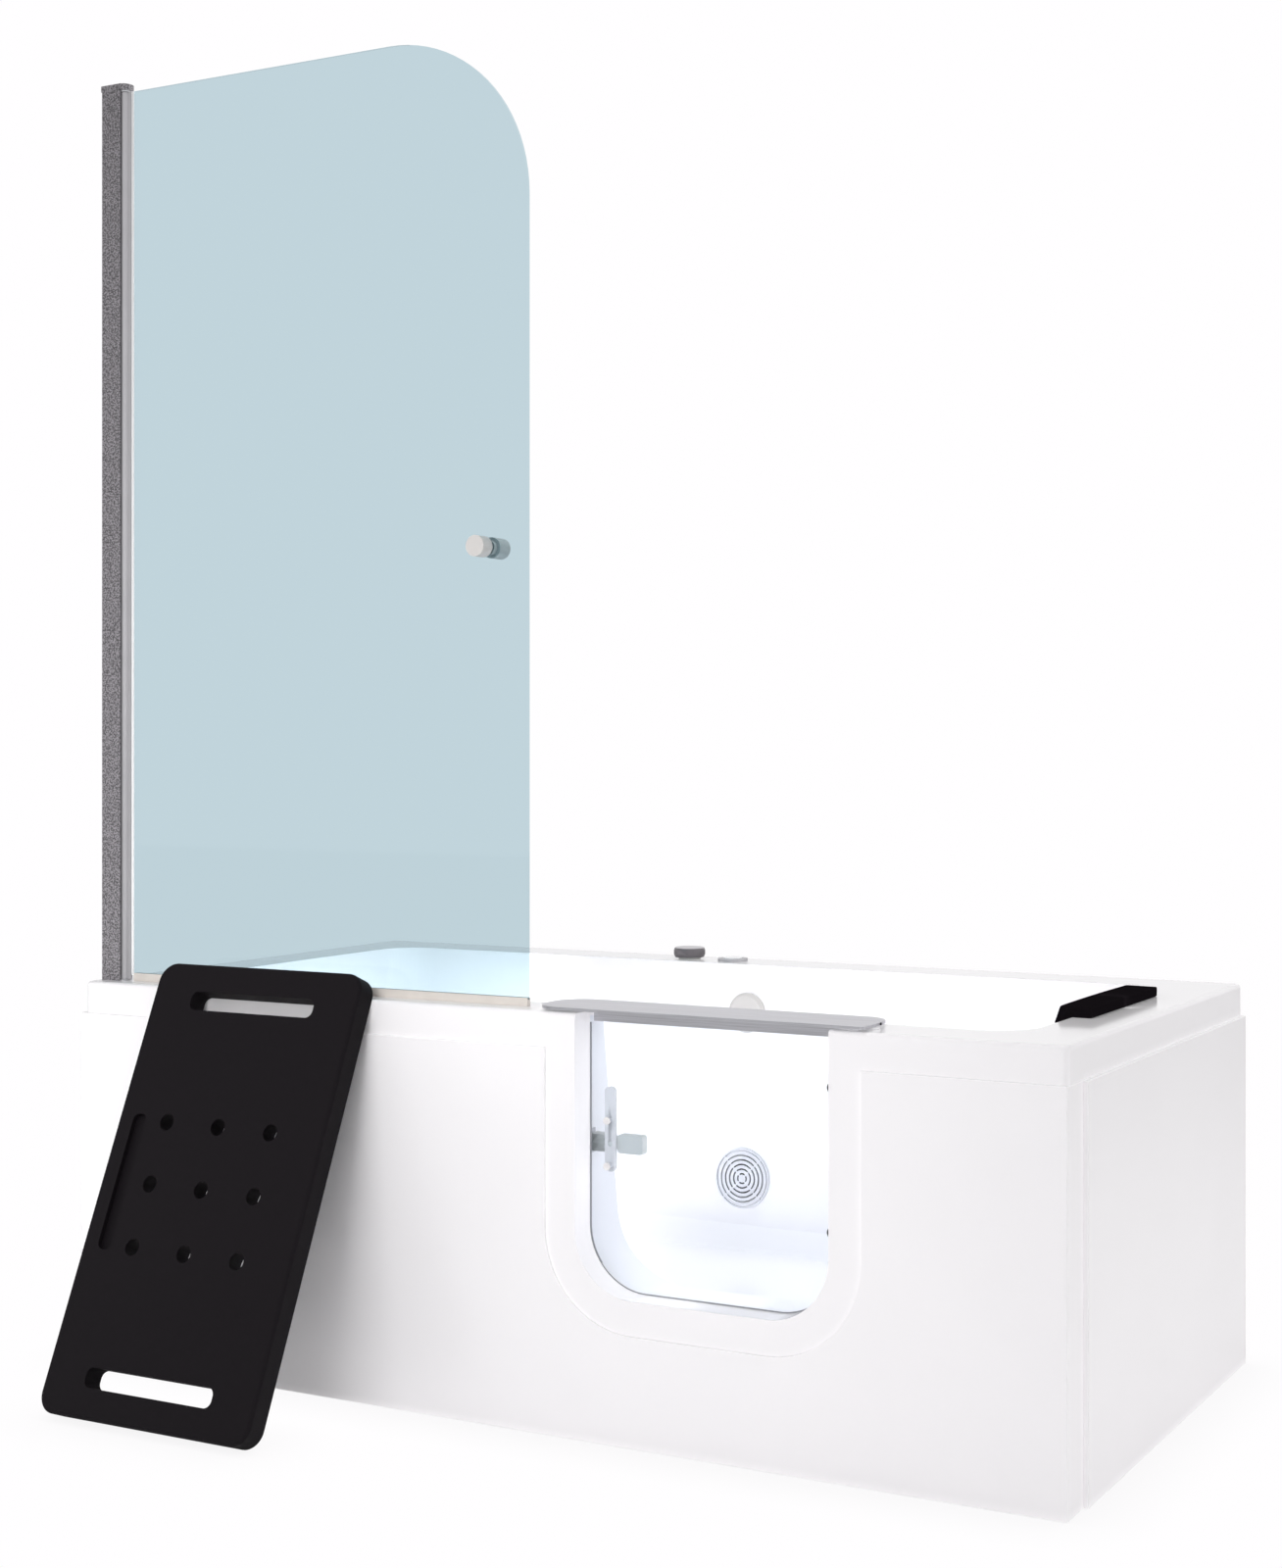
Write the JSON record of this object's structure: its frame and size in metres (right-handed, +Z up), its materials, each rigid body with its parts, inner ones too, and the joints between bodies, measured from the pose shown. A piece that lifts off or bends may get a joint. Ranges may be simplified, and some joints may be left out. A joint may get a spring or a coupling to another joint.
{
  "type": "walk-in bathtub",
  "caption": "White walk-in bath with an inward opening glass door in its front, a pivoting glass shower screen, a black headrest and a loose black seat board.",
  "frame": {"origin": "on the floor under the middle of the bath's footprint, at the foot pad there", "axes": "+X along the bath's front from the foot end with the shower screen to the head end with the headrest, +Y from the front with the door towards the back wall, +Z up"},
  "size_m": [1.7135, 1.1456, 2.103],
  "materials": {
    "white_acrylic": "gloss",
    "grey_galvanised": "satin",
    "birch_board": "matte",
    "black_rubber": "matte",
    "grey_seal": "matte",
    "clear_seal": "translucent",
    "beige_seal": "satin",
    "door_glass": "clear",
    "screen_glass": "clear",
    "satin_aluminium": "satin",
    "grained_aluminium": "grained",
    "polished_chrome": "polished",
    "stainless": "satin",
    "dark_knob": "satin",
    "white_plastic": "gloss",
    "satin_white": "satin",
    "pale_chrome": "satin",
    "grey_plastic": "satin",
    "pale_plastic": "satin",
    "black_foam": "matte",
    "black_plastic": "satin"
  },
  "bodies": {
    "bath": {"tub_shell": "white_acrylic", "base_board": "birch_board", "frame_rails": "grey_galvanised", "frame_cross": "grey_galvanised", "foot_rods": "grey_galvanised", "foot_nuts": "grey_galvanised", "foot_pads": "black_rubber", "front_panel": "white_acrylic", "end_panel_head": "white_acrylic", "end_panel_foot": "white_acrylic", "panel_brackets": "grey_galvanised", "door_seal": "grey_seal", "hinge_leaves_fixed": "stainless", "hinge_pins": "stainless", "hinge_screws": "stainless", "keeper_plate": "stainless", "waste_grille": "pale_chrome", "waste_gasket": "black_rubber", "waste_cup": "grey_plastic", "waste_trap": "white_plastic", "waste_pipe": "white_plastic", "overflow_rosette": "satin_white", "overflow_body": "grey_plastic", "overflow_pipe": "white_plastic", "knob_base": "grey_plastic", "knob_nut": "stainless", "waste_cable": "black_rubber", "air_collar": "polished_chrome", "air_housing": "grey_plastic", "wall_channel": "grained_aluminium", "channel_cap": "grained_aluminium", "pivot_block_top": "stainless", "pivot_block_bottom": "stainless"},
    "door": {"hinge_leaves_door": "stainless", "hinge_buttons": "black_plastic", "door_glass": "door_glass", "glass_clamp": "satin_aluminium", "cap_rail": "satin_aluminium", "rail_pin": "black_rubber", "rail_pads": "white_plastic", "latch_plate": "pale_plastic", "latch_body": "grey_plastic", "latch_screws": "pale_plastic"},
    "latch_lever": {"latch_handle": "grey_plastic"},
    "latch_slide": {"latch_bolt": "stainless"},
    "screen": {"pivot_profile": "polished_chrome", "screen_glass": "screen_glass", "side_seal": "clear_seal", "bottom_seal": "beige_seal", "pull_front": "satin_white", "pull_rear": "satin_white"},
    "knob": {"waste_knob": "dark_knob"},
    "plug": {"waste_plug": "black_rubber"},
    "button": {"air_button": "white_plastic"},
    "rest": {"headrest": "black_foam"},
    "board": {"seat_board": "black_plastic", "board_strips": "grey_seal"}
  },
  "joints": [
    {"name": "door_swing", "type": "hinge", "parent": "bath", "child": "door", "pos_m": [0.516, -0.3635, 0.433], "axis": [0, 0, -1], "range_deg": [0, 90]},
    {"name": "latch_lever_turn", "type": "hinge", "parent": "door", "child": "latch_lever", "pos_m": [0.125, -0.359, 0.424], "axis": [0, 1, 0], "range_deg": [0, 75]},
    {"name": "latch_bolt_slide", "type": "slide", "parent": "door", "child": "latch_slide", "axis": [-1, 0, 0], "range_m": [0, 0.012]},
    {"name": "screen_swing", "type": "hinge", "parent": "bath", "child": "screen", "pos_m": [-0.801, -0.3845, 1.356], "axis": [0, 0, 1], "range_deg": [0, 80]},
    {"name": "waste_knob_turn", "type": "hinge", "parent": "bath", "child": "knob", "pos_m": [-0.149, 0.37, 0.63], "axis": [0, 0, 1], "range_deg": [0, 90]},
    {"name": "waste_plug_slide", "type": "slide", "parent": "bath", "child": "plug", "axis": [0, -0.9981, 0.0614], "range_m": [0, 0.013]},
    {"name": "air_button_press", "type": "slide", "parent": "bath", "child": "button", "axis": [0, 0, -1], "range_m": [0, 0.004], "stiffness_N_per_m": 500, "springref_m": -0.002},
    {"name": "seat_board_lift", "type": "slide", "parent": "bath", "child": "board", "axis": [0, 0, 1], "range_m": [0, 0.3]},
    {"name": "headrest_lift", "type": "slide", "parent": "bath", "child": "rest", "axis": [0, 0, 1], "range_m": [0, 0.08]}
  ],
  "couplings": [
    {"joint": "latch_bolt_slide", "follows": "latch_lever_turn", "m_per_rad": 0.009},
    {"joint": "waste_plug_slide", "follows": "waste_knob_turn", "m_per_rad": 0.0082}
  ]
}
